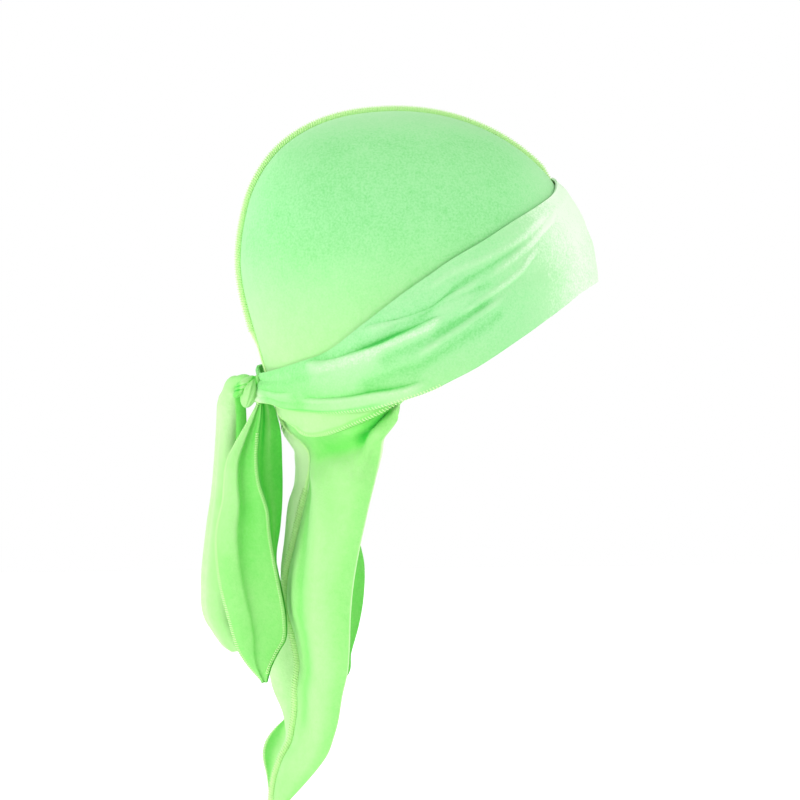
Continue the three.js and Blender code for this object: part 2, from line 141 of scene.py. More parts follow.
def curve(rows, column, at):
    """Smooth curve through a column of the rows, read at a value of their first column."""
    rows = np.array(rows, float)
    key = rows[:, 0]
    value = rows[:, column]
    slope = np.empty_like(value)
    slope[1:-1] = (value[2:] - value[:-2]) / (key[2:] - key[:-2])
    slope[0] = (value[1] - value[0]) / (key[1] - key[0])
    slope[-1] = (value[-1] - value[-2]) / (key[-1] - key[-2])
    at = np.clip(at, key[0], key[-1])
    row = np.clip(np.searchsorted(key, at, side="right") - 1, 0, len(key) - 2)
    span = key[row + 1] - key[row]
    share = (at - key[row]) / span
    bend = span * share * (1 - share) * ((1 - share) * slope[row] - share * slope[row + 1])
    return between(value[row], value[row + 1], share * share * (3 - 2 * share)) + bend


def side_y(forward):
    return middle_y - forward * half_length


def side_z(up):
    return middle_z + up * crown_height


def outline_share(forward, up):
    turn = np.degrees(np.arctan2(up, forward)) % 360
    return np.hypot(forward, up) / curve(crown_outline, 1, turn)


def crown_half_width(y, z):
    forward = (middle_y - y) / half_length
    share = np.minimum(outline_share(forward, (z - middle_z) / crown_height), 1)
    return half_width * (1 - crown_taper * forward) * np.sqrt(1 - share * share)


def crown_turn(along):
    return between(crown_rim[0][0], crown_rim[-1][0], np.clip(along / crown_share, 0, 1))


def tail_drop(along):
    return np.clip((along - crown_share) / (1 - crown_share), 0, 1)


def seam_line(along):
    """The centre seam's place in the side view, from the brow to the tail's tip."""
    turn = crown_turn(along)
    reach = curve(crown_outline, 1, turn)
    y = side_y(reach * np.cos(np.radians(turn)))
    z = side_z(reach * np.sin(np.radians(turn)))
    drop = tail_drop(along)
    hung = middle_y + curve(tail_rows, 1, drop) * half_length
    y = np.where(drop > 0, between(y, hung, settle(0, tail_hangs_by, drop)), y)
    return y, z - drop * tail_length


def panel_cloth(side, across, along):
    """Half of the crown and tail: across runs from the free edge to the seam."""
    seam_y, seam_z = seam_line(along)
    turn = crown_turn(along)
    rim_y = side_y(curve(crown_rim, 1, turn))
    rim_z = side_z(curve(crown_rim, 2, turn))
    drop = tail_drop(along)
    depth = curve(tail_rows, 2 if side < 0 else 3, drop) * tail_depth
    hang = settle(0, tail_hangs_by, drop) * (drop > 0)
    edge_y = between(rim_y, seam_y - depth, hang)
    edge_z = between(rim_z - drop * tail_length, seam_z, hang)
    spread = np.radians(90 * across)
    y = between(edge_y, seam_y, np.sin(spread))
    z = between(edge_z, seam_z, np.sin(spread))
    on_crown = crown_half_width(y, z) - crown_half_width(seam_y, seam_z) * np.sin(spread)
    free = curve(tail_rows, 4, drop) * tail_half_width * np.cos(spread)
    x = between(on_crown, free, settle(0.04, 0.2, drop))
    return np.stack([side * x, y, z], axis=-1)


def unit(ways):
    return ways / np.maximum(np.linalg.norm(ways, axis=-1, keepdims=True), 1e-12)


def square_to(place, across, along):
    """Unit directions square to a cloth that is given as a function of two shares."""
    step = 0.002
    across_way = (place(np.minimum(across + step, 1), along)
                  - place(np.maximum(across - step, 0), along))
    along_way = (place(across, np.minimum(along + step, 1))
                 - place(across, np.maximum(along - step, 0)))
    return unit(np.cross(across_way, along_way))


def raised(place, rise):
    """The same cloth, lifted square to itself by its rise."""
    def raised_place(across, along):
        lift = rise(across, along)[..., None]
        return place(across, along) + square_to(place, across, along) * lift
    return raised_place


def points_of(piece):
    points = np.empty(len(piece.data.vertices) * 3)
    piece.data.vertices.foreach_get("co", points)
    return points.reshape(-1, 3)


# each point's tone, which holds painted shade, highlight and sheen besides the velvet's own
def keep_tone_and_painted_light(piece, values):
    tone_and_painted_light_attribute = piece.data.attributes.new("tone_and_painted_light", "FLOAT", "POINT")
    tone_and_painted_light_attribute.data.foreach_set("value", values)


def lay_cloth(name, place, tone_and_painted_light, columns, rows, thickness=cloth_thickness):
    """Cloth laid where place says, with its wall outwards and its tone, painted light and shade
    included, kept on it.
    """
    bpy.ops.object.select_all(action="DESELECT")
    bpy.ops.mesh.primitive_grid_add(x_subdivisions=columns, y_subdivisions=rows, size=1)
    piece = bpy.context.object
    piece.name = name
    piece.data.name = name
    corners = points_of(piece)
    across = corners[:, 0] + 0.5
    along = corners[:, 1] + 0.5
    piece.data.vertices.foreach_set("co", place(across, along).ravel())
    if tone_and_painted_light is not None:
        keep_tone_and_painted_light(piece, tone_and_painted_light(across, along))
    piece.data.update()
    wall = piece.modifiers.new("wall", "SOLIDIFY")
    wall.thickness = thickness
    wall.offset = 1
    bpy.ops.object.modifier_apply(modifier=wall.name)
    bpy.ops.object.shade_smooth_by_angle(angle=math.radians(55))
    return piece


def velvet(name, warm_below, cool_above):
    """Knit velvet with a short nap. Its green runs from deep to pale along the tone attribute,
    which holds painted shade, painted highlight and painted sheen besides the velvet's own tone;
    brushing and tufts mottle it. The tones are cooler on the crown than low on the tail, a
    painted cooler light from above."""
    finish = bpy.data.materials.new(name)
    finish.use_nodes = True
    nodes = finish.node_tree.nodes
    links = finish.node_tree.links
    shader = nodes["Principled BSDF"]
    shader.inputs["Roughness"].default_value = 0.9
    shader.inputs["Specular IOR Level"].default_value = 0.1
    shader.inputs["Sheen Weight"].default_value = 0.30
    shader.inputs["Sheen Roughness"].default_value = 0.4
    shader.inputs["Sheen Tint"].default_value = (0.80, 1.0, 0.74, 1)
    place = nodes.new("ShaderNodeTexCoord")

    def noise(scale, detail, roughness):
        node = nodes.new("ShaderNodeTexNoise")
        node.inputs["Scale"].default_value = scale
        node.inputs["Detail"].default_value = detail
        node.inputs["Roughness"].default_value = roughness
        links.new(place.outputs["Object"], node.inputs["Vector"])
        return node.outputs["Fac"]

    def scaled(value, centre, factor):
        node = nodes.new("ShaderNodeMath")
        node.operation = "MULTIPLY_ADD"
        links.new(value, node.inputs[0])
        node.inputs[1].default_value = factor
        node.inputs[2].default_value = -centre * factor
        return node.outputs[0]

    def added(first, second):
        node = nodes.new("ShaderNodeMath")
        links.new(first, node.inputs[0])
        links.new(second, node.inputs[1])
        return node.outputs[0]

    brushed = noise(scale=42, detail=3, roughness=0.55)
    mottle = noise(scale=230, detail=3, roughness=0.6)
    tufts = noise(scale=860, detail=2, roughness=0.6)
    tone_and_painted_light_attribute = nodes.new("ShaderNodeAttribute")
    tone_and_painted_light_attribute.attribute_name = "tone_and_painted_light"
    parts = nodes.new("ShaderNodeSeparateXYZ")
    links.new(place.outputs["Object"], parts.inputs["Vector"])
    # the cooler tones high up are painted: a cooler light from above
    coolness = nodes.new("ShaderNodeMapRange")
    coolness.interpolation_type = "SMOOTHSTEP"
    coolness.inputs["From Min"].default_value = warm_below
    coolness.inputs["From Max"].default_value = cool_above
    links.new(parts.outputs["Z"], coolness.inputs["Value"])
    nap = nodes.new("ShaderNodeMath")
    nap.operation = "MULTIPLY"
    links.new(scaled(tufts, centre=0.5, factor=0.42), nap.inputs[0])
    links.new(scaled(coolness.outputs["Result"], centre=-0.5, factor=0.67), nap.inputs[1])
    tone = added(scaled(tone_and_painted_light_attribute.outputs["Fac"], centre=-1, factor=0.5), nap.outputs[0])
    for speckle, strength in ((brushed, 0.14), (mottle, 0.16)):
        tone = added(tone, scaled(speckle, centre=0.5, factor=strength))
    shades = []
    for column in (1, 2):
        shade = nodes.new("ShaderNodeValToRGB")
        stops = shade.color_ramp.elements
        stops[0].color = (*velvet_tones[0][column], 1)
        stops[1].color = (*velvet_tones[-1][column], 1)
        for row in velvet_tones[1:-1]:
            stops.new(row[0]).color = (*row[column], 1)
        links.new(tone, shade.inputs["Fac"])
        shades.append(shade.outputs["Color"])
    blend = nodes.new("ShaderNodeMix")
    blend.data_type = "RGBA"
    links.new(coolness.outputs["Result"], blend.inputs[0])
    links.new(shades[0], blend.inputs[6])
    links.new(shades[1], blend.inputs[7])
    links.new(blend.outputs[2], shader.inputs["Base Color"])
    bump = nodes.new("ShaderNodeBump")
    bump.inputs["Strength"].default_value = 0.35
    bump.inputs["Distance"].default_value = 0.0004
    links.new(added(tufts, scaled(mottle, centre=0.5, factor=1.5)), bump.inputs["Height"])
    links.new(bump.outputs["Normal"], shader.inputs["Normal"])
    return finish


# share of the way from deep to pale, where the deep end also paints shade and the pale end also
# paints highlight and sheen, and the green low on the tail and high on the crown, cooler up there
# as painted light from above
velvet_tones = [
    (0.00, (0.050, 0.520, 0.050), (0.060, 0.500, 0.085)),
    (0.25, (0.165, 0.660, 0.110), (0.150, 0.620, 0.165)),
    (0.50, (0.310, 0.725, 0.215), (0.305, 0.725, 0.310)),
    (0.75, (0.430, 0.735, 0.315), (0.410, 0.755, 0.390)),
    (1.00, (0.640, 0.870, 0.500), (0.730, 0.900, 0.680)),
]
velvet_finish = velvet("lime velvet", warm_below=-0.165, cool_above=-0.050)
strap_finish = velvet("lime velvet of the straps", warm_below=-0.200, cool_above=-0.110)


# Long folds of the right half: height, breadth, and the places that each passes as drop and
# share across
tail_creases = [
    (0.0020, 0.0120, [
        (0.10, 0.92), (0.17, 0.83), (0.19, 0.74), (0.28, 0.53), (0.38, 0.42), (0.47, 0.36),
        (0.62, 0.38), (0.72, 0.34), (0.83, 0.28), (0.92, 0.25),
    ]),
    (-0.0016, 0.0080, [
        (0.14, 0.95), (0.29, 0.80), (0.38, 0.68), (0.48, 0.64), (0.63, 0.68), (0.73, 0.68),
        (0.82, 0.66),
    ]),
    (-0.0015, 0.0090, [
        (0.12, 0.55), (0.18, 0.42), (0.28, 0.32), (0.38, 0.24), (0.47, 0.18), (0.62, 0.20),
        (0.72, 0.15),
    ]),
]

# place across, and the drop of the hollow that swings from the front edge to the seam
tail_swag = [
    (0.00, -0.030), (0.03, 0.003), (0.06, 0.018), (0.09, 0.036), (0.12, 0.058), (0.17, 0.076),
    (0.28, 0.092), (0.40, 0.103), (0.53, 0.108), (0.72, 0.126),
]
swag_depth = 0.0040
swag_breadth = 0.0050
swag_lip_drop = 0.0100
swag_lip_height = 0.0024
swag_lip_breadth = 0.0055

# drop, and how far the left half swells back beside the seam
tail_swell = [
    (0.00, 0.00), (0.06, 0.80), (0.12, 1.65), (0.20, 1.40), (0.26, 1.60), (0.34, 1.20),
    (0.42, 0.85), (0.47, 0.70), (0.52, 1.10), (0.58, 2.30), (0.64, 3.40), (0.69, 2.90),
    (0.76, 1.60), (0.82, 0.70), (0.88, 0.15), (1.00, 0.00),
]


def crease_distance(route, across, drop):
    """Distance from a fold's line, and how far the fold has set in at that drop."""
    breadth = 1.25 * tail_half_width * curve(tail_rows, 4, drop)
    fade = settle(route[0][0], route[0][0] + 0.08, drop)
    fade = fade * (1 - settle(route[-1][0] - 0.08, route[-1][0] + 0.02, drop))
    return (across - curve(route, 1, drop)) * breadth, fade


def swag_distance(across, drop):
    """Distance below the swinging hollow, and how deep it is there."""
    off = (drop - curve(tail_swag, 1, across)) * tail_length
    deep = 0.35 + 0.65 * (1 - settle(0.13, 0.26, across))
    return off, deep * (1 - settle(0.45, 0.85, across))


def tail_relief(side, across, along):
    """How far the tail's folds rise from its plain form."""
    drop = tail_drop(along)
    if side > 0:
        swell = curve(tail_folds, 1, across) * tail_fold_height
        return swell * curve(tail_swell, 1, drop)
    rise = np.zeros_like(across)
    for height, breadth, route in tail_creases:
        off, fade = crease_distance(route, across, drop)
        rise += height * fade * hump(off, breadth)
    off, deep = swag_distance(across, drop)
    rise -= swag_depth * deep * hump(off, swag_breadth)
    rise += swag_lip_height * deep * hump(off - swag_lip_drop, swag_lip_breadth)
    return rise * (along > crown_share - 0.02)


def crown_tone_and_painted_sheen(place):
    """The crown's tone. It is paler low down, most of all at the back, which is the velvet's own
    nap, and paler on the top and at the brow, which is painted sheen."""
    below_top = -place[..., 2]
    low = settle(0.066, 0.125, below_top)
    back = settle(-0.02, 0.07, place[..., 1])
    top = 1 - settle(0.004, 0.024, below_top)
    brow = settle(0.05, 0.09, -place[..., 1])
    return -0.06 + (0.24 + 0.16 * back) * low + 0.30 * top + 0.36 * brow


def left_tail_tone_and_painted_light(across, drop):
    """Paler beside the seam, painted light that lifts the shade there; a painted highlight at the
    tip's hem; painted shade in front and in two ruffles high up.
    """
    by_seam = between(1.10, 0.55, settle(0.35, 0.75, drop))
    tone_and_painted_light = between(-0.36, 0.10, settle(0.20, 0.55, across))
    tone_and_painted_light = between(tone_and_painted_light, by_seam, settle(0.45, 0.85, across))
    painted_ruffle_shade = hump(drop - 0.155, 0.020) + hump(drop - 0.098, 0.014)
    tone_and_painted_light -= 0.90 * painted_ruffle_shade * settle(0.60, 0.75, across) * (1 - settle(0.78, 0.90, across))
    hem = (1 - settle(0.04, 0.09, across)) * settle(0.74, 0.78, drop)
    return between(tone_and_painted_light, 0.85, hem)


def right_tail_tone_and_painted_light(across, drop):
    """A painted highlight at the front hem, darker beside it; a painted highlight on the long
    crest and painted shade in the hollow by the seam; painted shadow under the strap root and in
    the swinging hollow below it.
    """
    tone_and_painted_light = 0.16 - 0.22 * (1 - settle(0.08, 0.30, across))
    for strength, route in ((0.16, tail_creases[0][2]), (-0.42, tail_creases[1][2])):
        off, fade = crease_distance(route, across, drop)
        tone_and_painted_light += strength * fade * hump(off, 0.0065)
    off, deep = swag_distance(across, drop)
    under_root = (1 - settle(-0.002, 0.006, off)) * (1 - settle(0.13, 0.17, drop))
    tone_and_painted_light -= 0.32 * under_root * (1 - settle(0.70, 0.95, across))
    tone_and_painted_light -= 0.95 * deep * hump(off, np.where(off > 0, 0.0040, 0.0075))
    hem = (1 - settle(0.004, 0.016, across)) * settle(0.02, 0.08, drop)
    return between(tone_and_painted_light, 0.95, hem)


# the panel's tone with its painted light and shade, the crown's above and the tail's below
def panel_tone_and_painted_light(side, across, along):
    drop = tail_drop(along)
    crown = crown_tone_and_painted_sheen(panel_cloth(side, across, along))
    if side > 0:
        return between(crown, left_tail_tone_and_painted_light(across, drop), settle(0, tail_hangs_by, drop))
    return between(crown, right_tail_tone_and_painted_light(across, drop), settle(0, 0.03, drop))


def make_panel(name, side, columns, rows):
    def from_edge(across):
        return across if side < 0 else 1 - across

    def flat(across, along):
        return panel_cloth(side, from_edge(across), along)

    def rise(across, along):
        return tail_relief(side, from_edge(across), along)

    def tone_and_painted_light(across, along):
        return panel_tone_and_painted_light(side, from_edge(across), along)

    place = raised(flat, rise)

    def kept_apart(across, along):
        points = place(across, along)
        points[..., 0] = side * np.maximum(side * points[..., 0], panel_gap / 2)
        return points

    piece = lay_cloth(name, kept_apart, tone_and_painted_light, columns, rows)
    piece.data.materials.append(velvet_finish)
    return piece, kept_apart


right_panel, right_panel_place = make_panel("velvet_panel_right", -1, columns=100, rows=440)
left_panel, left_panel_place = make_panel("velvet_panel_left", 1, columns=64, rows=300)
for panel, node in ((right_panel, "side_panel_right"), (left_panel, "side_panel_left")):
    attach(panel, "root")
    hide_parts(node)

# Overlock stitches. Each is a loop of woolly thread that wraps the cut edge of the cloth and
# goes through it once on its inner side; the machine makes them close together along a hem.
thread_green = (0.68, 0.95, 0.46)
thread_shade_green = (0.58, 0.90, 0.38)
stitch_pitch = 0.0018

thread_finish = bpy.data.materials.new("overlock thread")
thread_finish.use_nodes = True
thread_nodes = thread_finish.node_tree.nodes
thread_shader = thread_nodes["Principled BSDF"]
thread_shader.inputs["Roughness"].default_value = 0.62
thread_shader.inputs["Specular IOR Level"].default_value = 0.3
thread_shader.inputs["Sheen Weight"].default_value = 0.2
thread_place = thread_nodes.new("ShaderNodeTexCoord")
thread_fuzz = thread_nodes.new("ShaderNodeTexNoise")
thread_fuzz.inputs["Scale"].default_value = 1500
thread_shade = thread_nodes.new("ShaderNodeValToRGB")
thread_shade.color_ramp.elements[0].position = 0.3
thread_shade.color_ramp.elements[0].color = (*thread_shade_green, 1)
thread_shade.color_ramp.elements[1].position = 0.7
thread_shade.color_ramp.elements[1].color = (*thread_green, 1)
thread_bump = thread_nodes.new("ShaderNodeBump")
thread_bump.inputs["Strength"].default_value = 0.4
thread_bump.inputs["Distance"].default_value = 0.0002
for source, target in (
    (thread_place.outputs["Object"], thread_fuzz.inputs["Vector"]),
    (thread_fuzz.outputs["Fac"], thread_shade.inputs["Fac"]),
    (thread_fuzz.outputs["Fac"], thread_bump.inputs["Height"]),
    (thread_shade.outputs["Color"], thread_shader.inputs["Base Color"]),
    (thread_bump.outputs["Normal"], thread_shader.inputs["Normal"]),
):
    thread_finish.node_tree.links.new(source, target)


def spaced(route, pitch, start, end, samples=1600):
    """Shares of a route that lie a stitch apart from each other along it."""
    shares = np.linspace(start, end, samples)
    points = route(shares)
    gone = np.concatenate([[0], np.cumsum(np.linalg.norm(np.diff(points, axis=0), axis=1))])
    count = max(int(gone[-1] / pitch), 2)
    return np.interp((np.arange(count) + 0.5) * gone[-1] / count, gone, shares)


def join(pieces, name):
    bpy.ops.object.select_all(action="DESELECT")
    for piece in pieces:
        piece.select_set(True)
    bpy.context.view_layer.objects.active = pieces[0]
    bpy.ops.object.join()
    whole = bpy.context.object
    whole.name = name
    whole.data.name = name
    return whole


def sew(name, loop, shares, route, inward, outward):
    """Copies of one stitch along a route, joined to one piece of thread."""
    step = 0.0006
    way = unit(route(np.minimum(shares + step, 1)) - route(np.maximum(shares - step, 0)))
    out = unit(outward(shares))
    across = unit(np.cross(out, way))
    across *= np.sign(np.sum(across * inward(shares), axis=1))[:, None]
    out = unit(np.cross(way, across))
    out *= np.sign(np.sum(out * outward(shares), axis=1))[:, None]
    copies = []
    for at, inner, ahead, outer in zip(route(shares), across, way, out):
        stitch = bpy.data.objects.new(name, loop.data.copy())
        turned = Matrix((inner, ahead, outer)).transposed().to_4x4()
        turned.translation = at
        stitch.data.transform(turned)
        bpy.context.collection.objects.link(stitch)
        copies.append(stitch)
    thread = join(copies, name)
    bpy.ops.object.mode_set(mode="EDIT")
    bpy.ops.mesh.select_all(action="SELECT")
    bpy.ops.mesh.normals_make_consistent(inside=False)
    bpy.ops.object.mode_set(mode="OBJECT")
    bpy.ops.object.shade_smooth()
    thread.data.materials.append(thread_finish)
    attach(thread, "root")
    return thread


def make_loop(name, width, height, thread, slant):
    """One overlock loop: x runs into the cloth from its cut edge, y along it, z outwards."""
    bpy.ops.object.select_all(action="DESELECT")
    bpy.ops.mesh.primitive_torus_add(
        major_segments=12, minor_segments=5, major_radius=1, minor_radius=thread / (width / 2),
    )
    loop = bpy.context.object
    loop.name = name
    ring = points_of(loop)
    placed = np.stack([
        ring[:, 0] * width / 2 + width / 2 - thread,
        ring[:, 2] * width / 2 + slant * ring[:, 0],
        ring[:, 1] * height / 2,
    ], axis=-1)
    loop.data.vertices.foreach_set("co", placed.ravel())
    return loop


hem_loop = make_loop("hem_loop", width=0.0021, height=0.0014, thread=0.00030, slant=0.0004)


def hem_stitches(name, place, edge, start=0.0, end=1.0, pitch=stitch_pitch):
    """Overlock along the line of a cloth that lies at the edge's share across it."""
    def at_edge(along):
        return np.full_like(along, edge)

    def route(along):
        return place(at_edge(along), along) + outward(along) * cloth_thickness / 2

    def inward(along):
        inside = np.full_like(along, abs(edge - 0.03))
        return place(inside, along) - place(at_edge(along), along)

    def outward(along):
        return square_to(place, at_edge(along), along)

    shares = spaced(route, pitch, start, end)
    return sew(name, hem_loop, shares, route, inward, outward)


hem_stitches("tail_hem_left", left_panel_place, edge=1.0, start=0.90, end=0.995)

# Centre seam. The two panels' cut edges stand up on the outside, overlocked together into one
# narrow ridge, which the needle's stitches draw in a little.
seam_length = 0.63
seam_width = 0.0022
seam_height = 0.0034
pressed_height = 0.0018
seam_foot_lift = 0.0007
seam_loop_pitch = 0.0014
needle_pitch = 0.0028
needle_pull = 0.06


def seam_free_height(along):
    """The ridge is pressed flat under the wrap and stands free elsewhere."""
    turn = crown_turn(along)
    free = settle(36, 42, turn) * (1 - settle(206, 213, turn)) + settle(0.675, 0.72, along)
    return between(pressed_height, seam_height, free)


def seam_way(along):
    before = np.stack(seam_line(np.maximum(along - 0.002, 0)), axis=-1)
    after = np.stack(seam_line(np.minimum(along + 0.002, 1)), axis=-1)
    return unit(after - before)


def seam_at(along, lift, aside):
    """A point over the seam: lift is along the outward square of its line."""
    y, z = seam_line(along)
    way = seam_way(along)
    return np.stack([aside, y - way[..., 1] * lift, z + way[..., 0] * lift], axis=-1)


def seam_ridge(across, along):
    height = seam_free_height(along)
    angle = 2 * np.pi * across
    plump = 1 + needle_pull * np.cos(2 * np.pi * along * seam_length / needle_pitch)
    lift = seam_foot_lift + height / 2 * (1 + 0.92 * np.sin(angle) * plump)
    return seam_at(along, lift, 0.40 * seam_width * np.cos(angle) * plump)


ridge = lay_cloth("seam_ridge", seam_ridge, None, columns=14, rows=900, thickness=0)
bpy.ops.object.mode_set(mode="EDIT")
bpy.ops.mesh.select_all(action="SELECT")
bpy.ops.mesh.remove_doubles(threshold=0.00001)
bpy.ops.mesh.fill_holes(sides=40)
bpy.ops.mesh.normals_make_consistent(inside=False)
bpy.ops.object.mode_set(mode="OBJECT")
bpy.ops.object.shade_smooth()
ridge.data.materials.append(thread_finish)
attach(ridge, "root")
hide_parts("centre_seam")


def seam_foot(along):
    return seam_at(along, np.full_like(along, seam_foot_lift), along * 0)


def seam_top(along):
    lift = seam_foot_lift + seam_free_height(along)
    return seam_at(along, lift, along * 0)


def seam_inward(along):
    return seam_foot(along) - seam_top(along)


def seam_aside(along):
    return np.tile([1.0, 0, 0], (len(along), 1))


seam_loop = make_loop(
    "seam_loop", width=seam_height * 1.04, height=seam_width, thread=0.00034, slant=0.0006,
)
for name, start, end in (("seam_overlock", 0.078, 0.555), ("tail_seam_overlock", 0.70, 0.998)):
    shares = spaced(seam_top, seam_loop_pitch, start, end)
    sew(name, seam_loop, shares, seam_top, seam_inward, seam_aside)

# Strap roots. Each strap is one long piece of the same velvet, sewn into the side of the crown;
# its first turn lies low on the nape and shows under the wrap, with its overlocked hem down.
layer_gap = 0.0007
root_lift = cloth_thickness + layer_gap
pucker_height = 0.0009
pucker_count = 5.5

# turn from the brow, top and bottom as shares of the crown's height
root_edges = [
    (78, -0.300, -0.700), (91, -0.380, -0.815), (103, -0.480, -0.914), (117, -0.600, -1.025),
    (137, -0.740, -1.125), (148, -0.780, -1.149), (159, -0.800, -1.120), (167, -0.805, -1.070),
    (178, -0.810, -0.960),
]


def crown_radius(turn, height, halvings=34):
    """How far the crown's inside lies from its upright axis."""
    up = (height - middle_z) / crown_height
    near = np.zeros_like(turn)
    far = np.full_like(turn, crown_length)
    for _ in range(halvings):
        radius = (near + far) / 2
        forward = radius * np.cos(turn) / half_length
        width = half_width * (1 - crown_taper * forward)
        outside = (radius * np.sin(turn) / width) ** 2 + outline_share(forward, up) ** 2 > 1
        near = np.where(outside, near, radius)
        far = np.where(outside, radius, far)
    return near


def round_crown(edges, turn, share):
    """A point of a strip between two edges round the crown."""
    low = curve(edges, 2, np.abs(turn))
    high = curve(edges, 1, np.abs(turn))
    height = side_z(between(low, high, share))
    radius = crown_radius(np.radians(turn), height)
    return np.stack([
        -radius * np.sin(np.radians(turn)),
        middle_y - radius * np.cos(np.radians(turn)),
        height,
    ], axis=-1)


def make_root(name, side):
    def travelled(along):
        return along if side < 0 else 1 - along

    def flat(across, along):
        turn = between(root_edges[0][0], root_edges[-1][0], travelled(along))
        return round_crown(root_edges, -side * turn, across)

    def rise(across, along):
        travel = travelled(along)
        puckers = np.sin(2 * np.pi * (travel * pucker_count + 0.35 * np.sin(across * 6)))
        low = 1 - settle(0.1, 0.5, across)
        return root_lift + pucker_height * puckers * low * settle(0.35, 0.8, travel)

    # the root pales towards the nape, a painted highlight, and its hem band is darker, painted
    # shade under the overlock loops
    def tone_and_painted_light(across, along):
        hem = 1 - settle(0.06, 0.10, across)
        return 0.14 + 0.34 * settle(0.35, 0.75, travelled(along)) - 0.40 * hem

    place = raised(flat, rise)
    piece = lay_cloth(name, place, tone_and_painted_light, columns=40, rows=150)
    piece.data.materials.append(velvet_finish)
    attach(piece, "root")
    return piece, place


right_root, right_root_place = make_root("strap_velvet_right", -1)
left_root, left_root_place = make_root("strap_velvet_left", 1)
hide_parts("strap_root_right")
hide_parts("strap_root_left")
right_root_hem = hem_stitches("strap_hem_right", right_root_place, edge=0.0)
left_root_hem = hem_stitches("strap_hem_left", left_root_place, edge=0.0)

# Wrap. The two straps go twice round the brow, drawn tight in long pleats that run from the
# nape up over the side, and their hems meet in a gathered bunch at the nape.
wrap_lift = root_lift + cloth_thickness + layer_gap
pleat_height = 0.0024
nape_gather = 0.0028
wrap_end_turn = 178.5
top_edge_lift = 0.0016
brow_edge_lift = 0.0034
nape_edge_drop = 0.0004
edge_roll = 0.007
left_end_climb = 0.0036
left_end_flare = 0.0028
right_end_flare = 0.0050
lap_lip = 0.0004

# turn from the brow, top and bottom as shares of the crown's height
wrap_edges = [
    (0, 0.550, -0.130), (12, 0.510, -0.148), (25, 0.430, -0.218), (40, 0.340, -0.372),
    (55, 0.235, -0.525), (70, 0.105, -0.680), (82, 0.000, -0.776), (91, -0.100, -0.840),
    (101, -0.215, -0.888), (115, -0.392, -0.955), (131, -0.582, -0.978), (145, -0.660, -0.975),
    (160, -0.712, -0.960), (172, -0.733, -0.905), (180, -0.735, -0.885),
]

# place across the wrap from its lower edge, and the pleats' rise at the brow and at the nape
wrap_pleats = [
    (0.00, 0.30, 0.20), (0.10, 0.10, 0.60), (0.20, 0.05, 0.10), (0.38, 0.25, 0.50),
    (0.50, 0.10, 0.65), (0.60, 0.30, 0.80), (0.72, 0.20, 0.15), (0.88, 0.00, 0.45),
    (1.00, 0.30, 0.10),
]

# Each fold's height, its breadth below and above its line, and the places that it passes as
# turn from the brow and share of the wrap's width
laps = [
    (0.0024, 0.0060, 0.0040, [
        (85, 0.590), (92, 0.600), (99, 0.610), (102, 0.620), (106, 0.635), (111, 0.662),
        (119, 0.715), (127, 0.785), (134, 0.860), (141, 0.940),
    ]),
    (0.0014, 0.0050, 0.0030, [
        (92, 0.090), (95, 0.105), (100, 0.105), (107, 0.130), (113, 0.165), (122, 0.190),
        (133, 0.230), (146, 0.270),
    ]),
    (0.0011, 0.0040, 0.0025, [
        (149, 0.430), (153, 0.410), (158, 0.400), (165, 0.420), (171, 0.440),
    ]),
    (0.0012, 0.0050, 0.0035, [
        (70, 0.730), (78, 0.715), (86, 0.710), (95, 0.725), (102, 0.765), (110, 0.860),
        (116, 0.930),
    ]),
]
crests = [
    (0.0012, 0.0012, 0.0011, [
        (60, 0.455), (66, 0.440), (73, 0.425), (76, 0.410), (81, 0.395), (87, 0.390),
        (96, 0.370),
    ]),
    (0.0012, 0.0013, 0.0012, [
        (44, 0.700), (50, 0.640), (54, 0.590), (57, 0.570), (64, 0.555), (71, 0.545),
        (80, 0.520),
    ]),
    (0.0009, 0.0014, 0.0014, [
        (30, 0.880), (35, 0.840), (44, 0.780), (50, 0.740), (58, 0.715), (68, 0.690),
    ]),
    (0.0008, 0.0016, 0.0016, [
        (36, 0.900), (45, 0.860), (55, 0.830), (69, 0.860), (81, 0.890), (92, 0.900),
    ]),
]
hollows = [
    (0.0014, 0.0050, 0.0050, [
        (64, 0.480), (73, 0.475), (82, 0.455), (93, 0.470), (103, 0.480), (112, 0.500),
    ]),
    (0.0008, 0.0020, 0.0020, [
        (64, 0.620), (75, 0.660), (88, 0.690), (98, 0.720), (108, 0.770),
    ]),
    (0.0009, 0.0024, 0.0020, [
        (50, 0.790), (58, 0.780), (70, 0.775), (81, 0.760), (92, 0.690), (100, 0.690),
    ]),
    (0.0010, 0.0045, 0.0035, [
        (58, 0.350), (66, 0.330), (74, 0.310), (84, 0.290), (96, 0.270), (106, 0.290),
        (120, 0.330),
    ]),
]


def fold_line(fold, turn, place, width):
    """Distance above a fold's line, and how far the fold has set in at that turn."""
    route = fold[3]
    line = curve(route, 1, turn)
    first = route[0][0]
    last = route[-1][0]
    fade = settle(first, first + 7, turn) * (1 - settle(last - 5, last + 2, turn))
    return (place - line) * width, fade


def wrap_folds(turn, place, width):
    """How far the laps, crests and hollows rise from the pleats."""
    rise = np.zeros_like(place)
    for fold in laps:
        height, below, above, _ = fold
        off, fade = fold_line(fold, turn, place, width)
        lip = 0.5 * (1 - np.tanh(off / lap_lip))
        body = lip * np.exp(np.minimum(off, 0) / below)
        behind = (1 - lip) * 0.4 * np.exp(-np.maximum(off, 0) / above)
        rise += height * fade * (body - behind)
    for sign, folds in ((1, crests), (-1, hollows)):
        for fold in folds:
            height, below, above, _ = fold
            off, fade = fold_line(fold, turn, place, width)
            breadth = np.where(off < 0, below, above)
            rise += sign * height * fade * hump(off, breadth)
    return rise


def wrap_turn(along):
    return between(-wrap_end_turn, wrap_end_turn, along)


def wrap_width(away):
    return (curve(wrap_edges, 1, away) - curve(wrap_edges, 2, away)) * crown_height


